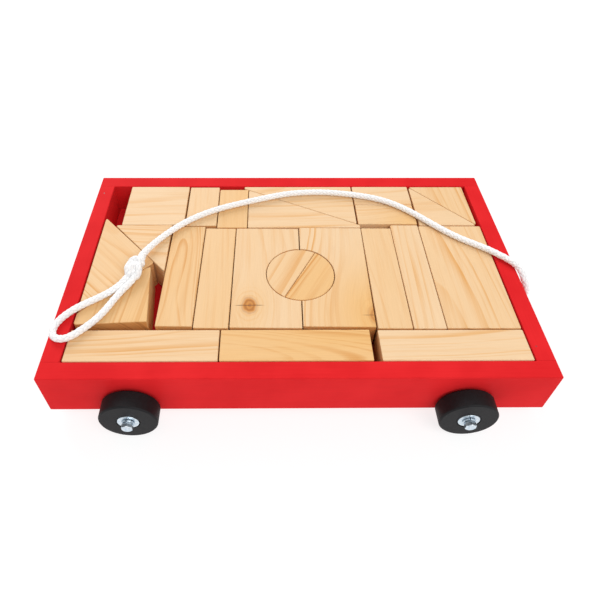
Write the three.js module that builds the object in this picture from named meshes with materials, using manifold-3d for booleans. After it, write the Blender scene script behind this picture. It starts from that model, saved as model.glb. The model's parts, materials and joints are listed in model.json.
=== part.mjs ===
// Toy block wagon: a shallow painted tray on four disc wheels, packed with one layer of pine building
// blocks, and a braided pull cord that ends in a knotted loop.
// Millimetres, +Z up, +X towards the pulled end. The origin is on the ground under the tray's centre.
import * as THREE from 'three';
import { mergeVertices } from 'three/addons/utils/BufferGeometryUtils.js';
import Module from 'manifold-3d';

// Driving dimensions
const LENGTH = 394;          // tray, along X
const WIDTH = 242;           // tray, along Y
const BOARD = 15;            // thickness of the rails, ends and floor
const LAYER = 30;            // depth of the hold, one layer of blocks
const GAP = 0.3;             // clearance between touching pieces
const WHEEL_RADIUS = 22.7;
const WHEEL_WIDTH = 14.6;
const WHEELBASE = 261;
const AXLE_DROP = 34.8;      // from the rim down to the axle screws
const CORD_RADIUS = 3;
const HOLE_DROP = 20;        // from the rim down to the cord's hole
const HOLE_RADIUS = 3.6;
const SETBACK = 0.1;         // from the rim down to the blocks' tops

// Worked out from them
const RIM = WHEEL_RADIUS + AXLE_DROP;
const FLOOR_TOP = RIM - LAYER;
const TRAY_BOTTOM = FLOOR_TOP - BOARD;
const INNER_WIDTH = WIDTH - 2 * BOARD;
const END_FACE = LENGTH / 2;
const BLOCK_BASE = FLOOR_TOP + GAP;
const BLOCK_HEIGHT = RIM - SETBACK - BLOCK_BASE;

// Fastenings
const SCREW_RADIUS = 2.5;
const SCREW_LENGTH = 31;
const SCREW_TIP = 0.6;
const HEX_RADIUS = 4.62;     // across corners, 8 mm across flats
const HEX_HEIGHT = 3.5;
const WASHER = { bore: 2.8, radius: 8.4, thickness: 1.4 };
const INNER_WASHER = { bore: 2.8, radius: 8, thickness: 1 };
const SPRING_WASHER = { bore: 2.8, radius: 5.1, thickness: 1.4 };
const COUNTERBORE = { radius: 9.2, depth: 1.6 };   // in the wheel's outer face, for its washer
const DOWEL = { radius: 3, length: 28, inRail: 9, drop: 12 };
const RECESS = { radius: 7.6, depth: 9 };

// Rounded and eased edges
const RAIL_CORNER = 1.5;
const BOARD_EASE = 0.8;
const FLOOR_EASE = 0.5;
const HEAD_EASE = 0.5;
const BLOCK_EASE = 0.8;
const BLOCK_CORNER = 1.2;
const WEDGE_CORNER = 1.4;
const WHEEL_EDGE = 1.8;
const WHEEL_SHOULDER = 0.5;

const wagon = new THREE.Group();

function finish(color, roughness, metalness = 0) {
  return new THREE.MeshStandardMaterial({ color, roughness, metalness });
}

function add(name, geometry, material, position = [0, 0, 0], turn = 0) {
  const mesh = new THREE.Mesh(geometry, material);
  mesh.name = name;
  mesh.position.set(...position);
  mesh.rotation.z = THREE.MathUtils.degToRad(turn);
  wagon.add(mesh);
  return mesh;
}

const redPaint = () => finish(0xe02028, 0.45);
const pine = () => finish(0xf0cf94, 0.6);
const rubber = () => finish(0x2c2d30, 0.7);
const zinc = () => finish(0xd5dade, 0.3, 0.9);
const rope = () => finish(0xf4f3f0, 0.9);

// A closed outline through the corners, each rounded: a corner is [x, y] or [x, y, radius]
function roundedOutline(corners, radius) {
  const shape = new THREE.Shape();
  const count = corners.length;
  corners.forEach((corner, i) => {
    const here = new THREE.Vector2(corner[0], corner[1]);
    const before = new THREE.Vector2(...corners[(i + count - 1) % count].slice(0, 2)).sub(here);
    const after = new THREE.Vector2(...corners[(i + 1) % count].slice(0, 2)).sub(here);
    const cut = (corner[2] ?? radius) / Math.tan(before.angleTo(after) / 2);
    const start = here.clone().add(before.setLength(cut));
    const end = here.clone().add(after.setLength(cut));
    if (i === 0) shape.moveTo(start.x, start.y);
    else shape.lineTo(start.x, start.y);
    shape.quadraticCurveTo(here.x, here.y, end.x, end.y);
  });
  shape.closePath();
  return shape;
}

// A prism standing on z = 0 with its top and bottom edges eased
function prism(shape, height, ease, curveSegments = 2) {
  const geometry = new THREE.ExtrudeGeometry(shape, {
    depth: height - 2 * ease,
    bevelThickness: ease,
    bevelSize: ease,
    bevelOffset: -ease,
    bevelSegments: 1,
    curveSegments,
  });
  return geometry.translate(0, 0, ease);
}

function rectangle(sizeX, sizeY, radius) {
  const x = sizeX / 2;
  const y = sizeY / 2;
  return roundedOutline([[-x, -y], [x, -y], [x, y], [-x, y]], radius);
}

// A solid of revolution about Y, from [radius, height] points
function lathe(profile, segments) {
  return new THREE.LatheGeometry(profile.map(([r, y]) => new THREE.Vector2(r, y)), segments);
}

function ring({ bore, radius, thickness }) {
  return lathe([[bore, 0], [radius, 0], [radius, thickness], [bore, thickness], [bore, 0]], 16);
}

// Booleans
const wasm = await Module();
wasm.setup();

function solid(geometry) {
  const bare = geometry.clone();
  bare.deleteAttribute('normal');
  bare.deleteAttribute('uv');
  const merged = mergeVertices(bare, 1e-4);
  const vertProperties = new Float32Array(merged.attributes.position.array);
  const triVerts = new Uint32Array(merged.index.array);
  return new wasm.Manifold(new wasm.Mesh({ numProp: 3, vertProperties, triVerts }));
}

function geometryOf(manifold) {
  const { vertProperties, triVerts } = manifold.getMesh();
  const geometry = new THREE.BufferGeometry();
  geometry.setAttribute('position', new THREE.BufferAttribute(vertProperties, 3));
  geometry.setIndex(new THREE.BufferAttribute(triVerts, 1));
  return geometry;
}

function drill(geometry, bits) {
  return geometryOf(bits.reduce((body, bit) => body.subtract(solid(bit)), solid(geometry)));
}

// A drill bit along X or Y, centred on the point
function bit(axis, radius, length, [x, y, z]) {
  const cylinder = new THREE.CylinderGeometry(radius, radius, length, 16);
  if (axis === 'x') cylinder.rotateZ(Math.PI / 2);
  return cylinder.translate(x, y, z);
}

// Tray: two full-length rails, two end boards butted between them and a floor
const CORNERS = [[-1, -1, 'front_left'], [1, -1, 'front_right'], [1, 1, 'back_right'], [-1, 1, 'back_left']];
const DOWEL_X = END_FACE - BOARD / 2;
const DOWEL_Z = RIM - DOWEL.drop;
const BUTT_Y = WIDTH / 2 - BOARD;

function addRails() {
  for (const [side, name] of [[-1, 'rail_front'], [1, 'rail_back']]) {
    const board = prism(rectangle(LENGTH, BOARD, RAIL_CORNER), LAYER + BOARD, BOARD_EASE);
    const y = side * (WIDTH / 2 - BOARD / 2);
    const axleHoles = [-1, 1].map((end) =>
      bit('y', WASHER.bore, 2 * BOARD, [end * WHEELBASE / 2, 0, WHEEL_RADIUS - TRAY_BOTTOM]));
    const dowelHoles = [-1, 1].map((end) =>
      bit('y', DOWEL.radius + GAP, 2 * (DOWEL.inRail + 1), [end * DOWEL_X, -side * BOARD / 2,
        DOWEL_Z - TRAY_BOTTOM]));
    add(name, drill(board, [...axleHoles, ...dowelHoles]), redPaint(), [0, y, TRAY_BOTTOM]);
  }
}

function addEnds() {
  const length = INNER_WIDTH - 2 * GAP;
  for (const [side, name] of [[-1, 'end_left'], [1, 'end_right']]) {
    const board = prism(rectangle(BOARD, length, BOARD_EASE), LAYER + BOARD, BOARD_EASE);
    const bits = [-1, 1].map((end) =>
      bit('y', DOWEL.radius + GAP, 2 * (DOWEL.length - DOWEL.inRail + 1), [0, end * length / 2,
        DOWEL_Z - TRAY_BOTTOM]));
    if (side > 0) {
      const holeZ = RIM - HOLE_DROP - TRAY_BOTTOM;
      bits.push(bit('x', HOLE_RADIUS, 2 * BOARD, [0, 0, holeZ]));
      bits.push(bit('x', RECESS.radius, 2 * RECESS.depth, [-BOARD / 2, 0, holeZ]));
    }
    add(name, drill(board, bits), redPaint(), [side * (END_FACE - BOARD / 2), 0, TRAY_BOTTOM]);
  }
}

function addDowels() {
  for (const [sideX, sideY, corner] of CORNERS) {
    const dowel = new THREE.CylinderGeometry(DOWEL.radius, DOWEL.radius, DOWEL.length - 2 * GAP, 12);
    const y = sideY * (BUTT_Y - DOWEL.length / 2 + DOWEL.inRail);
    add(`corner_dowel_${corner}`, dowel, pine(), [sideX * DOWEL_X, y, DOWEL_Z]);
  }
}

function addFloor() {
  const outline = rectangle(LENGTH - 2 * BOARD - 2 * GAP, INNER_WIDTH - 2 * GAP, BOARD_EASE);
  add('floor_board', prism(outline, BOARD, FLOOR_EASE), redPaint(), [0, 0, TRAY_BOTTOM]);
}

// Wheels, each turning on a hex-head coach screw between two washers. Pieces start at y = 0, outwards is +Y.
function wheelGeometry() {
  const r = WHEEL_RADIUS;
  const w = WHEEL_WIDTH;
  const seat = w - COUNTERBORE.depth;
  const profile = [
    [WASHER.bore, 0], [r - WHEEL_EDGE, 0], [r - WHEEL_SHOULDER, WHEEL_SHOULDER], [r, WHEEL_EDGE],
    [r, w - WHEEL_EDGE], [r - WHEEL_SHOULDER, w - WHEEL_SHOULDER], [r - WHEEL_EDGE, w],
    [COUNTERBORE.radius, w], [COUNTERBORE.radius, seat], [WASHER.bore, seat], [WASHER.bore, 0],
  ];
  return lathe(profile, 36);
}

// Head outwards from y = 0, shank inwards
function screwGeometry() {
  const hexagon = new THREE.Shape();
  for (let i = 0; i < 6; i++) {
    const a = i * Math.PI / 3;
    hexagon[i ? 'lineTo' : 'moveTo'](HEX_RADIUS * Math.cos(a), HEX_RADIUS * Math.sin(a));
  }
  hexagon.closePath();
  const head = prism(hexagon, HEX_HEIGHT, HEAD_EASE).rotateX(-Math.PI / 2);
  const taper = SCREW_RADIUS + 1 - SCREW_LENGTH;
  const shank = [
    [0, -SCREW_LENGTH], [SCREW_TIP, -SCREW_LENGTH], [SCREW_RADIUS, taper], [SCREW_RADIUS, 1], [0, 1],
  ];
  return geometryOf(solid(head).add(solid(lathe(shank, 16))));
}

function addWheels() {
  for (const [sideX, sideY, corner] of CORNERS) {
    let out = WIDTH / 2 + GAP;
    const stack = (name, geometry, material, thickness) => {
      const place = [sideX * WHEELBASE / 2, sideY * out, WHEEL_RADIUS];
      add(`${name}_${corner}`, geometry, material, place, sideY > 0 ? 0 : 180);
      out += thickness + GAP;
    };
    stack('inner_washer', ring(INNER_WASHER), zinc(), INNER_WASHER.thickness);
    stack('wheel', wheelGeometry(), rubber(), WHEEL_WIDTH - COUNTERBORE.depth);
    stack('outer_washer', ring(WASHER), zinc(), WASHER.thickness);
    stack('spring_washer', ring(SPRING_WASHER), zinc(), SPRING_WASHER.thickness);
    stack('axle_screw', screwGeometry(), zinc(), HEX_HEIGHT);
  }
}

// Blocks: one layer, in the order they are packed. Each rectangle is [name, centre, size, turn].
const BRICKS = [
  ['brick_front_left', [-121.4, -90.9], [118.6, 29.2], 0],
  ['brick_front_middle', [-1.8, -90.9], [118.8, 29.2], 0],
  ['brick_front_right', [122.4, -91.2], [116.6, 28.8], 0],
  ['pillar_left_outer', [-98.9, -13.9], [30.0, 118.0], -0.9],
  ['pillar_left_inner', [-68.9, -16.2], [28.4, 117.0], -0.9],
  ['pillar_right_inner', [79.6, -16.6], [28.1, 117.8], -0.4],
  ['pillar_right_outer', [107.5, -14.6], [26.4, 122.4], -0.2],
  ['plank_right', [151.0, -15.2], [59.2, 120.8], -0.2],
  ['square_back_left', [-133.9, 76.5], [59.6, 58.2], 0],
  ['half_square_back_outer', [-87.8, 75.2], [29.8, 58.6], 0],
  ['half_square_back_inner', [-57.6, 71.9], [28.8, 57.4], 0],
  ['half_square_back_right_rear', [92.7, 91.3], [57.6, 28.2], 0],
  ['half_square_back_right_front', [92.7, 62.4], [57.0, 28.6], 0],
];

// Corners run counter-clockwise; a corner's third number is its rounding
const WEDGES = [
  ['triangle_large_left', [[-180.5, -58.5], [-125.4, -2.1, 3], [-180.5, 57.6]]],
  ['triangle_left_rear', [[-169.6, 47.1], [-114.8, -13.4], [-114.8, 47.1]]],
  ['triangle_left_front', [[-178.9, -70.7], [-121.7, -68], [-127.6, -7.6, 1.2], [-131.2, -8.6, 1.2],
    [-180.4, -59.4], [-180.5, -69.2, 1]]],
  ['long_triangle_front', [[-42.6, 43.4], [65.4, 43.4, 1], [65.4, 47.0, 1], [-42.6, 99.8]]],
  ['long_triangle_rear', [[62.8, 105.3], [-47.2, 105.3, 1], [-47.2, 102.4, 1], [62.8, 48.7]]],
  ['triangle_right_front', [[122.9, 46.5], [178.1, 46.5], [122.9, 104.4]]],
  ['triangle_right_rear', [[178.4, 105.0], [122.9, 105.0], [178.4, 46.9]]],
];

const DISC = { x: 5.1, y: -16.3, radius: 29.7, turn: 61, kerf: 0.4 };
const NOTCH = { x: 5.2, y: -16.1, radius: 30.3 };
const ARCHES = [
  ['arch_left', [-24.5, -16.3], [58.8, 116.6], -0.8],
  ['arch_right', [35.2, -15.4], [58.8, 116.6], -0.8],
];

function addBlock(name, shape, place = [0, 0], turn = 0, curveSegments = 2) {
  add(name, prism(shape, BLOCK_HEIGHT, BLOCK_EASE, curveSegments), pine(), [...place, BLOCK_BASE], turn);
}

// A rectangle with a half-round notch; the notch is placed in the tray and turned into the block's frame
function archOutline(place, [sizeX, sizeY], turn) {
  const centre = new THREE.Vector2(NOTCH.x - place[0], NOTCH.y - place[1]);
  centre.rotateAround(new THREE.Vector2(), -THREE.MathUtils.degToRad(turn));
  const side = Math.sign(centre.x);
  const far = -side * sizeX / 2;
  const near = side * sizeX / 2;
  const spread = Math.acos(Math.abs(near - centre.x) / NOTCH.radius);
  const reach = NOTCH.radius * Math.sin(spread);
  const cut = BLOCK_CORNER;
  const shape = new THREE.Shape();
  shape.moveTo(far, -sizeY / 2 + cut);
  shape.quadraticCurveTo(far, -sizeY / 2, far + side * cut, -sizeY / 2);
  shape.lineTo(near - side * cut, -sizeY / 2);
  shape.quadraticCurveTo(near, -sizeY / 2, near, -sizeY / 2 + cut);
  shape.lineTo(near, centre.y - reach);
  const inward = side > 0 ? Math.PI : 0;
  shape.absarc(centre.x, centre.y, NOTCH.radius, inward + side * spread, inward - side * spread, side > 0);
  shape.lineTo(near, sizeY / 2 - cut);
  shape.quadraticCurveTo(near, sizeY / 2, near - side * cut, sizeY / 2);
  shape.lineTo(far + side * cut, sizeY / 2);
  shape.quadraticCurveTo(far, sizeY / 2, far, sizeY / 2 - cut);
  shape.closePath();
  return shape;
}

function addBlocks() {
  for (const [name, place, [sizeX, sizeY], turn] of BRICKS) {
    addBlock(name, rectangle(sizeX, sizeY, BLOCK_CORNER), place, turn);
  }
  for (const [name, corners] of WEDGES) {
    addBlock(name, roundedOutline(corners, WEDGE_CORNER));
  }
  for (const [name, place, size, turn] of ARCHES) {
    addBlock(name, archOutline(place, size, turn), place, turn, 12);
  }
  for (const [name, flip] of [['half_disc_left', 0], ['half_disc_right', 180]]) {
    const shape = new THREE.Shape();
    const start = Math.asin(DISC.kerf / 2 / DISC.radius);
    shape.absarc(0, 0, DISC.radius, start, Math.PI - start, false);
    shape.closePath();
    addBlock(name, shape, [DISC.x, DISC.y], DISC.turn + flip, 14);
  }
}

// Pull cord. Heights are above the rim. It runs from the stopper knot through the hole in the right end
// board, hangs in a short bend, climbs over the rim and crosses the blocks to the handle's knot.
const CORD = [
  [190.4, 0, -20], [193.6, 0, -20], [197.2, 0, -20], [201.8, -0.9, -20.2], [205.9, -4.1, -21.1],
  [208.6, -9.8, -22.3], [208.8, -16, -22.2], [207.9, -21.4, -19.2], [206.4, -24.6, -14.2],
  [204.6, -24.6, -8.8], [202.7, -21.4, -3.8], [200.9, -16.6, 0.2], [198.4, -11.8, 3],
  [194.4, -7.4, 4.5], [189.8, -2.4, 4.7], [184.6, 2.8, 4.3], [178.6, 8.9, 3.7],
  [167.7, 16.9, 3.3], [156.5, 24.4, 3.3], [144.8, 34, 3.3], [132.2, 46.5, 3.3],
  [119.7, 59.2, 3.3], [108.1, 69.3, 3.3], [96.2, 77.2, 3.3], [82.7, 83.1, 3.3], [66.1, 87.6, 3.3],
  [49.3, 90.6, 3.3], [32.8, 92.2, 3.3], [16.4, 92, 3.3], [0, 90.2, 3.3], [-14, 86.9, 3.3],
  [-29.5, 82, 3.3], [-46.2, 76.4, 3.3], [-63.1, 70.2, 3.3], [-79.9, 62.4, 3.3], [-96.7, 51.6, 3.3],
  [-110.2, 39.6, 3.3], [-120.7, 27.7, 3.4], [-128.6, 15.8, 4.4], [-133.4, 5.6, 5.8], [-135.4, -0.6, 6.4],
];
// The handle's loop leaves the knot and returns to it
const LOOP = [
  [-144.6, -25.4, 5.6], [-149.4, -32.4, 4.3], [-156.6, -39.6, 3.5], [-164.4, -45.4, 3.3],
  [-172.4, -50.8, 3.3], [-179.8, -56.2, 3.3], [-186.2, -62.4, 3.3], [-191, -69.2, 3.3],
  [-193.4, -75.8, 3.3], [-192.8, -82.1, 3.3], [-189, -86.4, 3.3], [-183, -86.8, 3.3],
  [-176.6, -83.6, 3.3], [-170, -77.4, 3.3], [-163.8, -70.4, 3.3], [-158.8, -63, 3.3],
  [-154.9, -55.4, 3.3], [-151.4, -47.6, 3.4], [-147.2, -39.6, 3.8], [-142, -32.2, 4.8],
  [-139.2, -27.4, 5.6],
];
const KNOT = { place: [-139.4, -13.4, 6.9], half: [8.2, 12.2, 6.4], turn: -17 };
const STOPPER = { place: [186.6, 0, -HOLE_DROP], half: [3.5, 6.4, 6.4] };
const HOLE_END = 7.2;        // along the cord, where it is out of the hole
const RIM_END = 60;          // along the cord, where it has climbed to the rim

const aboveRim = ([x, y, z]) => new THREE.Vector3(x, y, RIM + z);

// Part of a route, between two lengths along it
class Stretch extends THREE.Curve {
  constructor(route, from = 0, to = Infinity) {
    super();
    this.route = new THREE.CatmullRomCurve3(route.map(aboveRim), false, 'centripetal');
    const length = this.route.getLength();
    this.from = from / length;
    this.to = Math.min(1, to / length);
  }

  getPoint(t, target) {
    return this.route.getPointAt(this.from + t * (this.to - this.from), target);
  }
}

function tube(extrudePath, steps) {
  const section = new THREE.Shape();
  for (let i = 0; i < 8; i++) {
    const a = i * Math.PI / 4;
    section[i ? 'lineTo' : 'moveTo'](CORD_RADIUS * Math.cos(a), CORD_RADIUS * Math.sin(a));
  }
  section.closePath();
  return new THREE.ExtrudeGeometry(section, { steps, extrudePath, bevelEnabled: false });
}

function addKnot(name, { place, half, turn = 0 }) {
  const ball = new THREE.SphereGeometry(1, 14, 10).scale(...half);
  add(name, ball, rope(), aboveRim(place).toArray(), turn);
}

function addCord() {
  addKnot('stopper_knot', STOPPER);
  add('cord_in_hole', tube(new Stretch(CORD, 0, HOLE_END), 2), rope());
  add('cord_tail', tube(new Stretch(CORD, HOLE_END + GAP, RIM_END), 12), rope());
  add('pull_cord', tube(new Stretch(CORD, RIM_END + GAP), 40), rope());
  addKnot('handle_knot', KNOT);
  add('handle_loop', tube(new Stretch(LOOP), 26), rope());
}

addRails();
addEnds();
addDowels();
addFloor();
addWheels();
addBlocks();
addCord();

export default wagon;
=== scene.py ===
"""Looks for the block wagon: painted tray, pine blocks, rubber wheels, zinc hardware and a braided pull cord.

Lengths are in metres unless a name or a comment says millimetres. The part's own frame is used throughout:
+Z up, +X towards the pulled end, -Y the near side.
"""

import json
import math

import bmesh
import bpy
import numpy as np
from mathutils import Matrix, Vector

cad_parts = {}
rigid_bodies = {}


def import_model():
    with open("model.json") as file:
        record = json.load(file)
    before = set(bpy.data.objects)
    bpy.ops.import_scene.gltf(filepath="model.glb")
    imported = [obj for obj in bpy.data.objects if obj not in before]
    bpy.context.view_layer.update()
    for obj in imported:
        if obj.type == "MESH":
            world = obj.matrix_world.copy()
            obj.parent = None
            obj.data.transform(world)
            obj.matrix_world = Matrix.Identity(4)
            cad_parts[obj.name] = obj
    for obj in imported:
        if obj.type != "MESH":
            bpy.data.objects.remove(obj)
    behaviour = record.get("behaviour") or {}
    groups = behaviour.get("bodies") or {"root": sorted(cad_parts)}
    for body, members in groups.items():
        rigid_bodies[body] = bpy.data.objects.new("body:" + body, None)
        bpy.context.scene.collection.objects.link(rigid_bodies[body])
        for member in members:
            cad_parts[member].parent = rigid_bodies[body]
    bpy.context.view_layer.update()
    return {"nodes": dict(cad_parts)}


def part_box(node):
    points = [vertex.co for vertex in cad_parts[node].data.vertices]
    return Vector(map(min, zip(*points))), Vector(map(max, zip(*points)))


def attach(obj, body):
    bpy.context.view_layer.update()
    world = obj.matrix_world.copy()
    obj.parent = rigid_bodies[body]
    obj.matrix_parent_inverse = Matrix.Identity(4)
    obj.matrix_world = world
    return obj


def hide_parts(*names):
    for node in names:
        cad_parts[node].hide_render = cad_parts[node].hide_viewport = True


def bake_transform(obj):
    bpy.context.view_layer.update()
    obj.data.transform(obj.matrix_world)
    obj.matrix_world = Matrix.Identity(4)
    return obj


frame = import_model()

MM = 0.001
CORNERS = ("front_left", "front_right", "back_right", "back_left")
RIM_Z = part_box("rail_front")[1].z
HOLE_Z = RIM_Z - 20 * MM     # the middle of the cord's hole


# ---------------------------------------------------------------- mesh helpers

def new_piece(name, vertices, faces, body, material, slot, smooth=True):
    """A mesh piece in the part's frame, riding on a body."""
    mesh = bpy.data.meshes.new(name)
    mesh.from_pydata([tuple(v) for v in vertices], [], faces)
    mesh.validate()
    mesh.materials.append(material)
    mesh.polygons.foreach_set("use_smooth", [smooth] * len(mesh.polygons))
    piece = bpy.data.objects.new(name, mesh)
    bpy.context.scene.collection.objects.link(piece)
    if body:
        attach(piece, body)
    return piece


def local_frame(piece, origin, turn):
    """Moves a piece's own axes to origin, turned about Z, and leaves its shape where it is."""
    parent = piece.parent
    piece.parent = None
    matrix = Matrix.Translation(origin) @ Matrix.Rotation(turn, 4, "Z")
    piece.data.transform(matrix.inverted())
    piece.matrix_world = matrix
    if parent:
        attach(piece, parent.name.removeprefix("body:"))


def outward(piece):
    """Joins points that coincide and turns every face of a closed mesh outwards."""
    edit = bmesh.new()
    edit.from_mesh(piece.data)
    bmesh.ops.remove_doubles(edit, verts=edit.verts, dist=2e-6)
    bmesh.ops.recalc_face_normals(edit, faces=edit.faces)
    edit.to_mesh(piece.data)
    edit.free()


def flat_faces_stay_flat(piece):
    """Shades rounded edges smoothly without bending the light across the flats."""
    modifier = piece.modifiers.new("flats", "WEIGHTED_NORMAL")
    modifier.weight = 100
    modifier.keep_sharp = True


def loft(rings, cap_start=True, cap_end=True, closed=False):
    """Vertices and faces of a skin over equal rings of points."""
    count = len(rings[0])
    vertices = [p for ring in rings for p in ring]
    faces = []
    pairs = len(rings) if closed else len(rings) - 1
    for k in range(pairs):
        low, high = k * count, (k + 1) % len(rings) * count
        for i in range(count):
            j = (i + 1) % count
            faces.append((low + i, low + j, high + j, high + i))
    if cap_start and not closed:
        faces.append(tuple(reversed(range(count))))
    if cap_end and not closed:
        faces.append(tuple(range(len(rings) * count - count, len(rings) * count)))
    return vertices, faces


def quarter_round(radius, steps=4):
    """(inset, drop) pairs of a rounded edge, from the flat side's edge to the flat top."""
    angles = [k / steps * math.pi / 2 for k in range(steps + 1)]
    return [(radius * (1 - math.cos(a)), radius * (1 - math.sin(a))) for a in angles]


def stand_in(name, skin, body, material, slot, node, centre, turn=0.0):
    """A closed rigid piece in place of a node. Its own axes are at centre, turned about Z."""
    piece = new_piece(name, *skin, body, material, slot)
    outward(piece)
    local_frame(piece, centre, turn)
    flat_faces_stay_flat(piece)
    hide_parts(node)


# ---------------------------------------------------------------- shader helpers

class Shader:
    """Adds nodes to a tree. Lower-case settings are the node's own, capitalised ones are its inputs."""

    def __init__(self, tree):
        self.tree = tree

    def feed(self, socket, value):
        if isinstance(value, bpy.types.NodeSocket):
            self.tree.links.new(value, socket)
        else:
            socket.default_value = value

    def node(self, kind, *values, **settings):
        node = self.tree.nodes.new("ShaderNode" + kind)
        for name, value in settings.items():
            if name[0].islower():
                setattr(node, name, value)
        for socket, value in zip(node.inputs, values):
            self.feed(socket, value)
        for name, value in settings.items():
            if name[0].isupper():
                self.feed(node.inputs[name.replace("_", " ")], value)
        return node

    def math(self, operation, *values, clamp=False):
        return self.node("Math", *values, operation=operation, use_clamp=clamp).outputs[0]

    def vector(self, operation, *values):
        node = self.node("VectorMath", operation=operation)
        for socket, value in zip(node.inputs, values):
            self.feed(socket, value)
        return node.outputs["Value" if operation in ("LENGTH", "DOT_PRODUCT") else "Vector"]

    def noise(self, where, scale, detail=2.0, roughness=0.5):
        node = self.node("TexNoise", Vector=where, Scale=scale, Detail=detail, Roughness=roughness)
        return node.outputs[0]

    def remap(self, value, low, high, to_low=0.0, to_high=1.0, smooth=True):
        kind = "SMOOTHSTEP" if smooth else "LINEAR"
        node = self.node("MapRange", value, low, high, to_low, to_high, interpolation_type=kind)
        return node.outputs[0]

    def mix(self, factor, first, second, blend="MIX"):
        node = self.node("Mix", data_type="RGBA", blend_type=blend, clamp_factor=True)
        colours = [s for s in node.inputs if s.type == "RGBA"]
        self.feed(node.inputs[0], factor)
        self.feed(colours[0], first)
        self.feed(colours[1], second)
        return next(s for s in node.outputs if s.type == "RGBA")

    def bump(self, height, distance, strength=1.0, normal=None):
        node = self.node("Bump", Strength=strength, Distance=distance, Height=height)
        if normal is not None:
            self.feed(node.inputs["Normal"], normal)
        return node.outputs[0]


def new_material(name):
    """An empty material with a Principled shader: (material, its Shader, the Principled node)."""
    material = bpy.data.materials.new(name)
    material.use_nodes = True
    material.node_tree.nodes.clear()
    shader = Shader(material.node_tree)
    surface = shader.node("BsdfPrincipled")
    output = shader.node("OutputMaterial")
    material.node_tree.links.new(surface.outputs[0], output.inputs["Surface"])
    return material, shader, surface


def colour(red, green, blue):
    return (red, green, blue, 1.0)


def millimetres(shader, coordinates):
    """The object's own coordinates, in millimetres."""
    place = shader.vector("SCALE", coordinates.outputs["Object"])
    place.node.inputs["Scale"].default_value = 1 / MM
    return place


# ---------------------------------------------------------------- pine

EARLY_WOOD = colour(0.800, 0.565, 0.340)
LATE_WOOD = colour(0.720, 0.375, 0.125)
WARM_WOOD = colour(0.770, 0.440, 0.150)
WARM_LATE_WOOD = colour(0.610, 0.265, 0.060)
END_SHADE = colour(0.86, 0.68, 0.50)
END_LATE = colour(0.50, 0.235, 0.075)
KNOT_LIGHT = colour(0.64, 0.27, 0.055)
KNOT_DARK = colour(0.40, 0.14, 0.030)

PINE_INPUTS = (          # name, default; lengths in millimetres
    ("Pith Y", 20.0), ("Pith Z", -60.0), ("Ring", 2.0), ("Strength", 0.7), ("Wave", 3.0), ("Taper", 0.02),
    ("Warmth", 0.2), ("Seed", 0.0), ("Knot X", 900.0), ("Knot Y", 900.0), ("Knot Size", 6.0),
    ("Knot Reach", 16.0), ("Knot Depth", 0.0), ("Knot Glow", 0.0),
)


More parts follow.
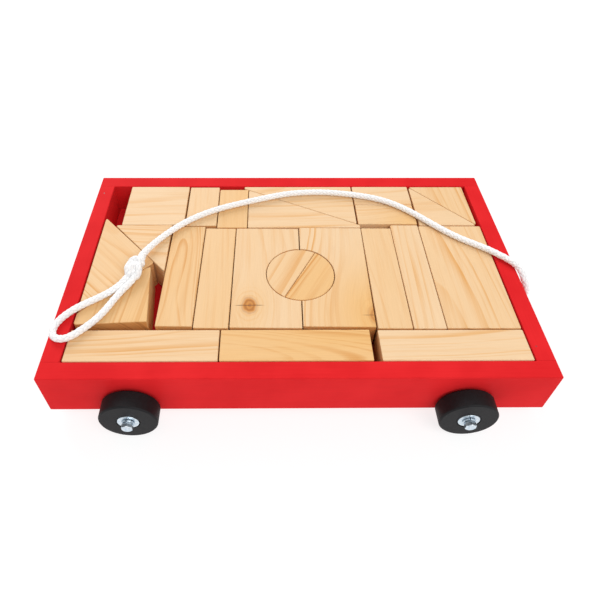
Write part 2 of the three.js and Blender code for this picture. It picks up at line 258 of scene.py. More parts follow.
class PineBuilder:
    """A solid pine texture: grain along the object's X, growth rings round a pith line, and one knot."""

    def __init__(self):
        self.tree = bpy.data.node_groups.new("Pine", "ShaderNodeTree")
        sockets = self.tree.interface
        for name, default in PINE_INPUTS:
            sockets.new_socket(name, in_out="INPUT", socket_type="NodeSocketFloat").default_value = default
        for name, kind in (("Color", "Color"), ("Roughness", "Float"), ("Height", "Float")):
            sockets.new_socket(name, in_out="OUTPUT", socket_type="NodeSocket" + kind)
        inputs = self.tree.nodes.new("NodeGroupInput").outputs
        self.given = {name: inputs[name] for name, _ in PINE_INPUTS}
        self.shader = Shader(self.tree)
        self.coordinates = self.shader.node("TexCoord")
        self.place = millimetres(self.shader, self.coordinates)

    def knot_field(self):
        """Distance from the knot in knot radii, the way across the grain from it, and the grain's swing."""
        s, given = self.shader, self.given
        here = s.node("SeparateXYZ", self.place).outputs
        self.away_x = s.math("SUBTRACT", here[0], given["Knot X"])
        self.away_y = s.math("SUBTRACT", here[1], given["Knot Y"])
        flat_x = s.math("MULTIPLY", self.away_x, 0.72)
        reach = s.math("SQRT", s.math("ADD", s.math("POWER", flat_x, 2.0), s.math("POWER", self.away_y, 2.0)))
        self.blur = s.math("MULTIPLY", s.math("SUBTRACT", s.noise(self.place, 0.14, 2.0), 0.5), 3.0)
        self.knot = s.math("DIVIDE", s.math("ADD", reach, self.blur), given["Knot Size"])
        far = s.math("POWER", s.math("DIVIDE", reach, given["Knot Reach"]), 2.0)
        self.swell = s.math("EXPONENT", s.math("MULTIPLY", far, -1.0))
        swing = s.math("MULTIPLY", s.math("MULTIPLY", self.swell, self.away_y), -0.8)
        bent = s.vector("ADD", self.place, s.node("CombineXYZ", 0.0, swing, 0.0).outputs[0])
        offset = s.node("CombineXYZ", s.math("MULTIPLY", given["Seed"], 137.0), given["Seed"], 0.0).outputs[0]
        self.bent = s.node("SeparateXYZ", bent).outputs
        self.moved = s.vector("ADD", bent, offset)

    def stretched(self, along, across, detail=2.0, roughness=0.5):
        """Noise drawn out along the grain, with its scales per millimetre."""
        s = self.shader
        return s.noise(s.vector("MULTIPLY", self.moved, (along, across, across)), 1.0, detail, roughness)

    def late_wood(self):
        """The darker wood that closes each year's ring, from 0 to 1."""
        s, given = self.shader, self.given
        slow = s.vector("MULTIPLY", self.moved, (0.006, 0.02, 0.02))
        sway = s.node("TexNoise", Vector=slow, Scale=1.0, Detail=1.5).outputs[1]
        sway = s.node("SeparateXYZ", s.vector("SUBTRACT", sway, (0.5, 0.5, 0.5))).outputs
        y = s.math("SUBTRACT", self.bent[1], given["Pith Y"])
        y = s.math("ADD", y, s.math("MULTIPLY", sway[0], s.math("MULTIPLY", given["Wave"], 3.0)))
        z = s.math("SUBTRACT", self.bent[2], given["Pith Z"])
        z = s.math("ADD", z, s.math("MULTIPLY", sway[1], s.math("MULTIPLY", given["Wave"], 2.0)))
        radius = s.math("SQRT", s.math("ADD", s.math("POWER", y, 2.0), s.math("POWER", z, 2.0)))
        radius = s.math("ADD", radius, s.math("MULTIPLY", self.bent[0], given["Taper"]))
        turn = s.math("DIVIDE", radius, given["Ring"])
        uneven = s.node("TexNoise", noise_dimensions="1D", W=s.math("ADD", turn, given["Seed"]), Scale=0.45,
                        Detail=1.0).outputs[0]
        turn = s.math("ADD", turn, s.math("MULTIPLY", uneven, 2.2))
        phase = s.math("FRACT", turn)
        late = s.math("MULTIPLY", s.remap(phase, 0.42, 0.88), s.remap(phase, 0.92, 1.0, 1.0, 0.0))
        year = s.math("ADD", s.math("FLOOR", turn), given["Seed"])
        weight = s.node("TexWhiteNoise", noise_dimensions="1D", W=year).outputs["Value"]
        late = s.math("MULTIPLY", late, s.remap(weight, 0.0, 1.0, 0.12, 1.0, smooth=False))
        return s.math("MULTIPLY", late, s.remap(self.stretched(0.012, 0.05, 1.0), 0.3, 0.7, 0.5, 1.15))

    def clear_wood(self, late):
        """Colour of the wood away from knots."""
        s, given = self.shader, self.given
        fibre = s.math("SUBTRACT", self.stretched(0.02, 1.1, 3.0, 0.6), 0.5)
        band = s.math("SUBTRACT", self.stretched(0.007, 0.16, 2.0, 0.55), 0.5)
        streak = s.math("ADD", s.math("MULTIPLY", fibre, 0.8), s.math("MULTIPLY", band, 0.9))
        amount = s.math("ADD", s.math("MULTIPLY", late, given["Strength"]), streak, clamp=True)
        cloud = s.math("MULTIPLY", s.math("SUBTRACT", self.stretched(0.010, 0.035), 0.5), 0.45)
        glow = s.math("MULTIPLY", self.swell, given["Knot Glow"])
        warm = s.math("ADD", s.math("ADD", given["Warmth"], cloud), glow, clamp=True)
        return s.mix(amount, s.mix(warm, EARLY_WOOD, WARM_WOOD), s.mix(warm, LATE_WOOD, WARM_LATE_WOOD))

    def with_knot(self, wood):
        """A dark heart with its own rings, a pale halo, and a check across the grain."""
        s, knot, depth = self.shader, self.knot, self.given["Knot Depth"]
        halo = s.math("MULTIPLY", s.remap(s.math("SINE", s.math("MULTIPLY", knot, 11.0)), 0.0, 1.0),
                      s.remap(knot, 1.0, 3.0, 0.40, 0.0))
        wood = s.mix(s.math("MULTIPLY", halo, depth), wood, LATE_WOOD)
        rings = s.remap(s.math("SINE", s.math("MULTIPLY", knot, 13.0)), -1.0, 1.0, 0.15, 0.75)
        heart = s.mix(rings, KNOT_LIGHT, KNOT_DARK)
        inside = s.remap(knot, 0.72, 1.05, 1.0, 0.0)
        wood = s.mix(s.math("MULTIPLY", inside, depth), wood, heart)
        line = s.math("MULTIPLY", s.remap(knot, 0.8, 1.0), s.remap(knot, 1.02, 1.25, 0.35, 0.0))
        wood = s.mix(s.math("MULTIPLY", line, depth), wood, KNOT_DARK)
        aside = s.math("ABSOLUTE", s.math("ADD", self.away_x, s.math("MULTIPLY", self.blur, 0.25)))
        crack = s.math("MULTIPLY", s.remap(aside, 0.15, 0.5, 1.0, 0.0),
                       s.remap(s.math("ABSOLUTE", self.away_y), 8.0, 14.0, 1.0, 0.0))
        crack = s.math("MULTIPLY", crack, depth)
        return s.mix(s.math("MULTIPLY", crack, 0.8), wood, colour(0.13, 0.05, 0.018)), crack

    def build(self):
        s = self.shader
        self.knot_field()
        late = self.late_wood()
        wood, crack = self.with_knot(self.clear_wood(late))
        fine = self.stretched(0.07, 4.5, 2.0, 0.6)
        grey = s.remap(fine, 0.25, 0.75, 0.955, 1.035)
        wood = s.mix(1.0, wood, s.node("CombineColor", grey, grey, grey).outputs[0], "MULTIPLY")
        facing = s.node("SeparateXYZ", self.coordinates.outputs["Normal"]).outputs
        end = s.remap(s.math("ABSOLUTE", facing[0]), 0.55, 0.95)
        end_wood = s.mix(s.remap(late, 0.05, 0.65), s.mix(1.0, wood, END_SHADE, "MULTIPLY"), END_LATE)
        wood = s.mix(end, wood, end_wood)
        height = s.math("ADD", s.math("MULTIPLY", fine, 0.5), s.math("MULTIPLY", late, 0.45))
        height = s.math("SUBTRACT", height, s.math("MULTIPLY", crack, 2.5))
        rough = s.math("ADD", s.remap(fine, 0.2, 0.8, 0.52, 0.64), s.math("MULTIPLY", end, 0.15))
        outputs = self.tree.nodes.new("NodeGroupOutput").inputs
        for socket, value in zip(outputs, (wood, rough, height)):
            s.feed(socket, value)
        return self.tree


PINE = PineBuilder().build()


def pine_material(name, **values):
    material, shader, surface = new_material(name)
    group = material.node_tree.nodes.new("ShaderNodeGroup")
    group.node_tree = PINE
    for key, value in values.items():
        group.inputs[key].default_value = value
    shader.feed(surface.inputs["Base Color"], group.outputs["Color"])
    shader.feed(surface.inputs["Roughness"], group.outputs["Roughness"])
    shader.feed(surface.inputs["Normal"], shader.bump(group.outputs["Height"], 0.00006, 0.7))
    surface.inputs["Specular IOR Level"].default_value = 0.30
    return material


# ---------------------------------------------------------------- the other materials

def red_paint():
    """Satin paint, brushed along the board, with the wood's grain just showing through."""
    material, s, surface = new_material("red_paint")
    place = millimetres(s, s.node("TexCoord"))
    cloud = s.noise(place, 0.03, 3.0)
    grain = s.noise(s.vector("MULTIPLY", place, (0.03, 0.9, 0.9)), 1.0, 3.0, 0.6)
    peel = s.noise(place, 1.6, 2.0)
    tone = s.math("ADD", s.math("MULTIPLY", cloud, 0.7), s.math("MULTIPLY", grain, 0.3))
    paint = s.mix(s.remap(tone, 0.3, 0.7), colour(0.650, 0.0165, 0.0195), colour(0.730, 0.0220, 0.0250))
    s.feed(surface.inputs["Base Color"], paint)
    s.feed(surface.inputs["Roughness"], s.remap(grain, 0.25, 0.75, 0.40, 0.50))
    surface.inputs["Specular IOR Level"].default_value = 0.015
    height = s.math("ADD", s.math("MULTIPLY", grain, 0.8), s.math("MULTIPLY", peel, 0.35))
    s.feed(surface.inputs["Normal"], s.bump(height, 0.00006, 0.6))
    return material


def wheel_rubber():
    """Matte black, faintly mottled, with turning marks round the axle, which is the object's Y."""
    material, s, surface = new_material("wheel_rubber")
    place = millimetres(s, s.node("TexCoord"))
    flat = s.vector("MULTIPLY", place, (1.0, 0.0, 1.0))
    radius = s.vector("LENGTH", flat)
    marks = s.noise(s.node("CombineXYZ", radius, 0.0, 0.0).outputs[0], 2.4, 3.0, 0.7)
    mottle = s.noise(place, 0.9, 4.0, 0.65)
    grit = s.noise(place, 5.0, 2.0)
    tone = s.math("ADD", s.math("MULTIPLY", mottle, 0.7), s.math("MULTIPLY", marks, 0.3))
    black = s.mix(s.remap(tone, 0.3, 0.7), colour(0.0050, 0.0045, 0.0050), colour(0.0135, 0.0130, 0.0150))
    s.feed(surface.inputs["Base Color"], black)
    s.feed(surface.inputs["Roughness"], s.remap(mottle, 0.3, 0.7, 0.50, 0.64))
    surface.inputs["Specular IOR Level"].default_value = 0.20
    height = s.math("ADD", s.math("MULTIPLY", grit, 0.6), s.math("MULTIPLY", marks, 0.8))
    s.feed(surface.inputs["Normal"], s.bump(height, 0.00007, 0.55))
    return material


def zinc_plate():
    """Bright zinc with a faint blue cast, fine scratches and a little bloom."""
    material, s, surface = new_material("zinc")
    place = millimetres(s, s.node("TexCoord"))
    bloom = s.noise(place, 0.55, 3.0, 0.6)
    scratch = s.noise(s.vector("MULTIPLY", place, (0.6, 6.0, 0.9)), 1.0, 3.0, 0.7)
    metal = s.mix(s.remap(bloom, 0.3, 0.7), colour(0.54, 0.65, 0.75), colour(0.81, 0.87, 0.91))
    s.feed(surface.inputs["Base Color"], metal)
    s.feed(surface.inputs["Roughness"], s.remap(bloom, 0.25, 0.75, 0.28, 0.40))
    surface.inputs["Metallic"].default_value = 1.0
    s.feed(surface.inputs["Normal"], s.bump(scratch, 0.00003, 0.5))
    return material


def white_braid():
    """Soft white yarn. UV is in strands, U round the cord and V along it.

    lay says which way the top strand runs. groove darkens the grooves between strands towards grey, which is
    painted shade, and a faint white emission is a painted glow."""
    material, s, surface = new_material("white_braid")
    uv = s.node("SeparateXYZ", s.node("TexCoord").outputs["UV"]).outputs
    lay = s.node("Attribute", attribute_name="lay").outputs["Fac"]
    groove = s.node("Attribute", attribute_name="groove").outputs["Fac"]
    rising = s.math("ADD", uv[0], uv[1])
    falling = s.math("SUBTRACT", uv[0], uv[1])
    across = s.node("Mix", data_type="FLOAT")
    s.feed(across.inputs[0], lay)
    s.feed(across.inputs[2], falling)
    s.feed(across.inputs[3], rising)
    threads = s.math("SINE", s.math("MULTIPLY", across.outputs[0], 2 * math.pi * 5))
    place = millimetres(s, s.node("TexCoord"))
    fuzz = s.noise(place, 5.0, 3.0, 0.7)
    soil = s.noise(place, 0.12, 2.0)
    white = s.mix(s.remap(soil, 0.3, 0.7), colour(0.93, 0.925, 0.92), colour(0.96, 0.955, 0.95))
    # Painted shade: the grooves between strands are darkened towards bluish grey, up to half way, where shade
    # falls in the braid.
    white = s.mix(s.remap(groove, 0.0, 1.0, 0.0, 0.50), white, colour(0.56, 0.55, 0.58))
    s.feed(surface.inputs["Base Color"], white)
    surface.inputs["Roughness"].default_value = 0.85
    surface.inputs["Specular IOR Level"].default_value = 0.2
    # Painted glow: a faint white emission makes the cord brighter than the lamps alone make it.
    surface.inputs["Emission Color"].default_value = colour(1.0, 1.0, 1.0)
    surface.inputs["Emission Strength"].default_value = 0.03
    surface.inputs["Sheen Weight"].default_value = 0.25
    surface.inputs["Sheen Roughness"].default_value = 0.5
    height = s.math("ADD", s.math("MULTIPLY", threads, 0.35), s.math("MULTIPLY", fuzz, 0.9))
    s.feed(surface.inputs["Normal"], s.bump(height, 0.0001, 0.6))
    return material


def brad_steel(name, bare, painted):
    """Dull steel, smeared with paint."""
    material, s, surface = new_material(name)
    place = millimetres(s, s.node("TexCoord"))
    smear = s.remap(s.noise(place, 1.4, 3.0), 0.4, 0.6)
    s.feed(surface.inputs["Base Color"], s.mix(smear, bare, painted))
    surface.inputs["Roughness"].default_value = 0.55
    s.feed(surface.inputs["Normal"], s.bump(s.noise(place, 3.0), 0.00004))
    return material


RED = red_paint()
RUBBER = wheel_rubber()
ZINC = zinc_plate()
BARE_BRAD = brad_steel("brad_bare", colour(0.20, 0.17, 0.16), colour(0.34, 0.10, 0.10))
PAINTED_BRAD = brad_steel("brad_painted", colour(0.30, 0.020, 0.022), colour(0.48, 0.016, 0.020))
BRAID = white_braid()


# ---------------------------------------------------------------- camera, light and floor

LIGHT_TARGET = Vector((0.0, 0.0, 0.05))


def add_camera():
    """Above the near side, looking down over the rim."""
    pitch, yaw, roll = math.radians(44.72), math.radians(0.76), math.radians(0.46)
    forward = Vector((math.sin(yaw) * math.cos(pitch), math.cos(yaw) * math.cos(pitch), -math.sin(pitch)))
    level = Vector((math.cos(yaw), -math.sin(yaw), 0.0))
    above = level.cross(forward)
    right = level * math.cos(roll) + above * math.sin(roll)
    up = above * math.cos(roll) - level * math.sin(roll)
    camera = bpy.data.objects.new("camera", bpy.data.cameras.new("camera"))
    bpy.context.scene.collection.objects.link(camera)
    camera.matrix_world = Matrix.Translation((-0.0250, -0.3334, RIM_Z + 0.3513)) @ Matrix(
        (right, up, -forward)).transposed().to_4x4()
    camera.data.sensor_width = 36.0
    camera.data.lens = 32.25
    camera.data.shift_x = 0.048
    camera.data.shift_y = -0.094
    camera.data.clip_start = 0.01
    bpy.context.scene.camera = camera


def add_softbox(name, place, size, power):
    """A square soft light that faces the object."""
    light = bpy.data.lights.new(name, "AREA")
    light.shape = "SQUARE"
    light.size = size
    light.energy = power
    box = bpy.data.objects.new(name, light)
    bpy.context.scene.collection.objects.link(box)
    box.location = place
    box.rotation_euler = (LIGHT_TARGET - Vector(place)).to_track_quat("-Z", "Y").to_euler()


def add_studio():
    scene = bpy.context.scene
    scene.view_settings.view_transform = "Standard"
    world = bpy.data.worlds.new("studio")
    world.use_nodes = True
    background = world.node_tree.nodes["Background"]
    background.inputs["Color"].default_value = colour(1.0, 1.0, 1.0)
    background.inputs["Strength"].default_value = 0.58
    scene.world = world
    add_softbox("key", (-1.6, 3.4, 2.5), 3.0, 121.0)
    add_softbox("fill", (1.3, -1.8, 2.6), 2.4, 55.0)


def add_floor():
    half = 6.0
    mesh = bpy.data.meshes.new("studio_floor")
    corners = [(-half, -half, 0), (half, -half, 0), (half, half, 0), (-half, half, 0)]
    mesh.from_pydata(corners, [], [(0, 1, 2, 3)])
    material, shader, surface = new_material("studio_floor")
    surface.inputs["Base Color"].default_value = colour(0.25, 0.25, 0.25)
    surface.inputs["Roughness"].default_value = 0.9
    surface.inputs["Specular IOR Level"].default_value = 0.0
    surface.inputs["Emission Color"].default_value = colour(1.0, 1.0, 1.0)
    surface.inputs["Emission Strength"].default_value = 0.80
    mesh.materials.append(material)
    floor = bpy.data.objects.new("studio_floor", mesh)
    bpy.context.scene.collection.objects.link(floor)


# ---------------------------------------------------------------- cord

CORD_RADIUS = 3.0            # millimetres, as are the routes; heights are above the rim
STRANDS = 5                  # in each direction
CELL = 2 * math.pi * CORD_RADIUS / STRANDS
CORD = [
    (190.4, 0, -20), (193.6, 0, -20), (197.2, 0, -20), (201.8, -0.9, -20.2),
    (205.9, -4.1, -21.1), (208.6, -9.8, -22.3), (208.8, -16, -22.2), (207.9, -21.4, -19.2),
    (206.4, -24.6, -14.2), (204.6, -24.6, -8.8), (202.7, -21.4, -3.8), (200.9, -16.6, 0.2),
    (198.4, -11.8, 3), (194.4, -7.4, 4.5), (189.8, -2.4, 4.7), (184.6, 2.8, 4.3),
    (178.6, 8.9, 3.7), (167.7, 16.9, 3.3), (156.5, 24.4, 3.3), (144.8, 34, 3.3),
    (132.2, 46.5, 3.3), (119.7, 59.2, 3.3), (108.1, 69.3, 3.3), (96.2, 77.2, 3.3),
    (82.7, 83.1, 3.3), (66.1, 87.6, 3.3), (49.3, 90.6, 3.3), (32.8, 92.2, 3.3),
    (16.4, 92, 3.3), (0, 90.2, 3.3), (-14, 86.9, 3.3), (-29.5, 82, 3.3),
    (-46.2, 76.4, 3.3), (-63.1, 70.2, 3.3), (-79.9, 62.4, 3.3), (-96.7, 51.6, 3.3),
    (-110.2, 39.6, 3.3), (-120.7, 27.7, 3.4), (-128.6, 15.8, 4.4), (-133.4, 5.6, 5.8),
    (-135.4, -0.6, 6.4), (-135.4, -5.2, 6.7),
]
LOOP = [
    (-142.6, -20.6, 6.0), (-144.6, -25.4, 5.6), (-149.4, -32.4, 4.3), (-156.6, -39.6, 3.5),
    (-164.4, -45.4, 3.3), (-172.4, -50.8, 3.3), (-179.8, -56.2, 3.3), (-186.2, -62.4, 3.3),
    (-191, -69.2, 3.3), (-193.4, -75.8, 3.3), (-192.8, -82.1, 3.3), (-189, -86.4, 3.3),
    (-183, -86.8, 3.3), (-176.6, -83.6, 3.3), (-170, -77.4, 3.3), (-163.8, -70.4, 3.3),
    (-158.8, -63, 3.3), (-154.9, -55.4, 3.3), (-151.4, -47.6, 3.4), (-147.2, -39.6, 3.8),
    (-142, -32.2, 4.8), (-139.2, -27.4, 5.4), (-138.6, -21.8, 5.4),
]


def above_rim(points):
    """Route points in metres, in the part's frame."""
    return np.array(points, float) * MM + (0.0, 0.0, RIM_Z)


def smooth_route(points, step):
    """Points a step apart along a centripetal Catmull-Rom curve through the route."""
    points = np.vstack([2 * points[0] - points[1], points, 2 * points[-1] - points[-2]])
    dense = []
    for p0, p1, p2, p3 in zip(points, points[1:], points[2:], points[3:]):
        t0, t1 = 0.0, math.sqrt(np.linalg.norm(p1 - p0))
        t2 = t1 + math.sqrt(np.linalg.norm(p2 - p1))
        t3 = t2 + math.sqrt(np.linalg.norm(p3 - p2))
        t = np.linspace(t1, t2, 40, endpoint=False)[:, None]
        a1 = ((t1 - t) * p0 + (t - t0) * p1) / (t1 - t0)
        a2 = ((t2 - t) * p1 + (t - t1) * p2) / (t2 - t1)
        a3 = ((t3 - t) * p2 + (t - t2) * p3) / (t3 - t2)
        b1 = ((t2 - t) * a1 + (t - t0) * a2) / (t2 - t0)
        b2 = ((t3 - t) * a2 + (t - t1) * a3) / (t3 - t1)
        dense.append(((t2 - t) * b1 + (t - t1) * b2) / (t2 - t1))
    dense = np.vstack(dense + [points[-2:-1]])
    along = np.concatenate([[0.0], np.cumsum(np.linalg.norm(np.diff(dense, axis=0), axis=1))])
    count = max(2, round(along[-1] / step))
    even = np.linspace(0.0, along[-1], count + 1)
    return np.stack([np.interp(even, along, dense[:, k]) for k in range(3)], axis=1), along[-1]


def carried_frames(line):
    """Two unit vectors across the line at each point, carried along it without twist."""
    tangent = np.gradient(line, axis=0)
    tangent /= np.linalg.norm(tangent, axis=1)[:, None]
    side = np.cross(tangent[0], (0.0, 0.0, 1.0))
    if np.linalg.norm(side) < 0.1:
        side = np.cross(tangent[0], (0.0, 1.0, 0.0))
    sides = []
    for t in tangent:
        side = side - t * (side @ t)
        side /= np.linalg.norm(side)
        sides.append(side)
    sides = np.array(sides)
    return sides, np.cross(tangent, sides)


def braid_height(a, b):
    """Height of a two-over-two braid, from 0 to 1, its groove depth, which the braid material uses to paint
    shade into the grooves, and which strand is on top.

    a and b count the strands that run each way round the cord."""
    i, j = np.floor(a), np.floor(b)
    crown_a = np.sqrt(1 - 0.94 * (2 * (a - i) - 1) ** 2)
    crown_b = np.sqrt(1 - 0.94 * (2 * (b - j) - 1) ** 2)
    wave_a = np.cos(math.pi / 2 * (b - i - 1))
    wave_b = np.cos(math.pi / 2 * (a - j - 2))
    top_a = 0.62 * crown_a + 0.38 * wave_a
    top_b = 0.62 * crown_b + 0.38 * wave_b
    height = np.maximum(top_a, top_b)
    return height, np.clip(1 - (height - 0.35) / 0.5, 0, 1), (top_a > top_b).astype(float)


def braided_tube(name, line, body, radius=CORD_RADIUS * MM, around=64, relief=0.28, swell=None):
    """A closed tube of braid along a line of evenly spaced points. swell scales the radius along it."""
    side, over = carried_frames(line)
    step = np.linalg.norm(line[1] - line[0])
    angle = np.arange(around) / around * 2 * math.pi
    along = np.arange(len(line)) * step / (CELL * MM)
    u = angle[None, :] / (2 * math.pi) * STRANDS
    height, groove, lay = braid_height(u + along[:, None], u - along[:, None] + 64 * STRANDS)
    reach = radius * (1 - relief + relief * height)
    if swell is not None:
        reach = reach * swell[:, None]
    cos, sin = np.cos(angle)[None, :, None], np.sin(angle)[None, :, None]
    rings = line[:, None, :] + reach[:, :, None] * (side[:, None, :] * cos + over[:, None, :] * sin)
    vertices, faces = loft(list(rings))
    piece = new_piece(name, vertices, faces, body, BRAID, "rope")
    # groove is the mask of the painted shade in the braid's grooves; lay says which strand is on top.
    for attribute, values in (("lay", lay), ("groove", groove)):
        piece.data.attributes.new(attribute, "FLOAT", "POINT").data.foreach_set(
            "value", values.astype(np.float32).ravel())
    add_braid_uv(piece, around, len(line), along)
    return piece


def add_braid_uv(piece, around, count, along):
    """U in strands round the tube and V in cells along it, running on past the seam."""
    layer = piece.data.uv_layers.new(name="strands")
    corners = np.zeros(len(piece.data.loops), int)
    piece.data.loops.foreach_get("vertex_index", corners)
    ring = np.minimum(corners // around, count - 1)
    uv = np.stack([corners % around / around * STRANDS, along[ring]], axis=1)
    for polygon in piece.data.polygons:
        loops = list(polygon.loop_indices)
        if len(loops) == 4 and np.ptp(uv[loops, 0]) > STRANDS / 2:
            for k in loops:
                if uv[k, 0] < STRANDS / 2:
                    uv[k, 0] += STRANDS
    layer.data.foreach_set("uv", uv.astype(np.float32).ravel())


BRAID_STEP = CELL * MM / 6


def add_cord():
    """The pull cord in one length, bending where it leaves the rim."""
    line, length = smooth_route(above_rim(CORD), BRAID_STEP)
    distance = np.linalg.norm(line - line[-1], axis=1)
    swell = 1 + 0.22 * np.exp(-(distance / 0.012) ** 2)
    cord = braided_tube("pull_cord_braid", line, None, swell=swell)
    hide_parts("cord_in_hole", "cord_tail", "pull_cord")
    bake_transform(cord)
    return cord, line, length


def add_loop():
    line, length = smooth_route(above_rim(LOOP), BRAID_STEP)
    loop = braided_tube("handle_loop_braid", line, "pull_cord")
    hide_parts("handle_loop")
    return loop, line, length


KNOT_CENTRE = (-139.4, -13.4, 6.9)
KNOT_TURN = math.radians(-17)
KNOT_PATH = [                # up the middle, back over the top, down the left, under, and up the right
    (-1.2, -11.0, -0.6), (-1.2, -7.5, 2.2), (-0.8, -3.6, 3.6), (0.4, 0.4, 2.2), (2.2, 3.4, -1.0),
    (4.0, 4.8, -1.0), (3.8, 5.0, 1.8), (0.8, 5.6, 3.8), (-3.0, 4.4, 3.2), (-5.0, 1.0, 1.0), (-5.2, -3.4, 0.2),
    (-3.0, -7.6, -2.4), (1.4, -10.2, -3.2), (5.6, -9.2, -1.6), (6.2, -5.0, 0.8), (4.2, -1.0, 2.7),
    (2.0, 2.2, 1.6), (1.0, 6.0, -0.2), (2.0, 11.0, -0.2),
]
KNOT_CORE = [(-0.6, -9.0, -1.2), (0.4, -4.5, -0.4), (0.4, 0.0, 0.0), (0.2, 4.5, -0.4)]


def add_knot():
    """An overhand knot of the same braid, drawn tight."""
    turn = Matrix.Rotation(KNOT_TURN, 3, "Z")
    centre = Vector(KNOT_CENTRE)
    pieces = []
    for name, path, radius in (("handle_knot_braid", KNOT_PATH, 3.0), ("handle_knot_core", KNOT_CORE, 4.2)):
        line, _ = smooth_route(above_rim([centre + turn @ Vector(p) for p in path]), BRAID_STEP)
        pieces.append(braided_tube(name, line, "pull_cord", radius=radius * MM))
        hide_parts("handle_knot")
    return pieces


def add_stopper():
    """A small tight knot inside the end board's recess."""
    low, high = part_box("stopper_knot")
    centre = (low + high) / 2
    points = []
    for k in range(33):
        a = k / 32 * 4 * math.pi
        turn = Vector((0.6 * math.cos(a / 4), 3.4 * math.cos(a), 3.4 * math.sin(a)))
        points.append(centre + turn * MM)
    line, _ = smooth_route(np.array([tuple(p) for p in points]), BRAID_STEP)
    stopper = braided_tube("stopper_knot_braid", line, "wagon", radius=2.8 * MM)
    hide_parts("stopper_knot")
    return stopper


# ---------------------------------------------------------------- blocks

BLOCK_EDGE = 0.8 * MM
LONG_SIDE = 8 * MM
BLOCK_HALF_HEIGHT = 15        # millimetres


def cad_outline(node):
    """A prism's outline from its CAD node: the ring of points where its top edge starts to round."""
    mesh = frame["nodes"][node].data
    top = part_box(node)[1].z
    levels = sorted({round(v.co.z, 6) for v in mesh.vertices})
    level = levels[-2]
    assert top - level < 2 * MM, node
    near = {v.index: (round(v.co.x, 6), round(v.co.y, 6))
            for v in mesh.vertices if abs(v.co.z - level) < 1e-6}
    following = {}
    for polygon in mesh.polygons:
        if abs(polygon.normal.z) > 0.1:
            continue
        corners = list(polygon.vertices)
        for here, there in zip(corners, corners[1:] + corners[:1]):
            if here in near and there in near and near[here] != near[there]:
                following[near[there]] = near[here]
    start = point = next(iter(following))
    outline = []
    while True:
        outline.append(point)
        point = following[point]
        if point == start:
            return np.array(outline)


def rounded(outline):
    """The outline with its arcs and corner roundings made smooth. Long sides stay straight."""
    after = np.roll(outline, -1, axis=0) - outline
    length = np.linalg.norm(after, axis=1)
    ahead = after / length[:, None]
    behind = np.roll(ahead, 1, axis=0)
    count = len(outline)
    turn = np.arccos(np.clip((ahead * behind).sum(axis=1), -1, 1))
    sharp = turn > math.radians(58)
    tangent = ahead + behind
    for k in range(count):
        if length[k] > LONG_SIDE:
            tangent[k] = ahead[k]
        elif length[k - 1] > LONG_SIDE:
            tangent[k] = behind[k]
    tangent /= np.linalg.norm(tangent, axis=1)[:, None]
    smooth = []
    for k in range(count):
        here, there = outline[k], outline[(k + 1) % count]
        smooth.append(here)
        if length[k] > LONG_SIDE:
            continue
        leave, arrive = tangent[k], tangent[(k + 1) % count]
        if sharp[k]:
            leave = 2 * ahead[k] * (ahead[k] @ arrive) - arrive
        if sharp[(k + 1) % count]:
            arrive = 2 * ahead[k] * (ahead[k] @ leave) - leave
        for t in (0.25, 0.5, 0.75):
            smooth.append(
                (2 * t ** 3 - 3 * t ** 2 + 1) * here + (t ** 3 - 2 * t ** 2 + t) * length[k] * leave
                + (3 * t ** 2 - 2 * t ** 3) * there + (t ** 3 - t ** 2) * length[k] * arrive)
    return np.array(smooth)


def inset(outline, amount):
    """The outline moved inwards, for one that runs counter-clockwise."""
    ahead = np.roll(outline, -1, axis=0) - outline
    ahead /= np.linalg.norm(ahead, axis=1)[:, None]
    behind = np.roll(ahead, 1, axis=0)
    bisector = ahead + behind
    bisector /= np.linalg.norm(bisector, axis=1)[:, None]
    inward = np.stack([-bisector[:, 1], bisector[:, 0]], axis=1)
    stretch = np.clip((inward * np.stack([-ahead[:, 1], ahead[:, 0]], axis=1)).sum(axis=1), 0.5, 1)
    moved = outline + inward * (amount / stretch)[:, None]
    for _ in range(20):
        folded = ((np.roll(moved, -1, axis=0) - moved) * ahead).sum(axis=1) < 0
        for k in np.flatnonzero(folded):
            other = (k + 1) % len(moved)
            moved[k] = moved[other] = (moved[k] + moved[other]) / 2
    return moved


def prism_rings(outline, low, high, edge):
    """Rings of a prism whose top and bottom edges are rounded."""
    steps = quarter_round(edge)
    levels = [(i, low + drop) for i, drop in reversed(steps)] + [(i, high - drop) for i, drop in steps]
    return [[(x, y, z) for x, y in inset(outline, i)] for i, z in levels]


def figure(grain, pith, streaks, strength, wave, warmth, **more):
    """A block's wood: its grain in degrees from +X, where the pith lies beside and below its middle, how far
    apart the streaks are on its top, how strong and how wavy they are, and how warm it is. Millimetres."""
    return dict(grain=grain, pith=pith, streaks=streaks, strength=strength, wave=wave, warmth=warmth, **more)


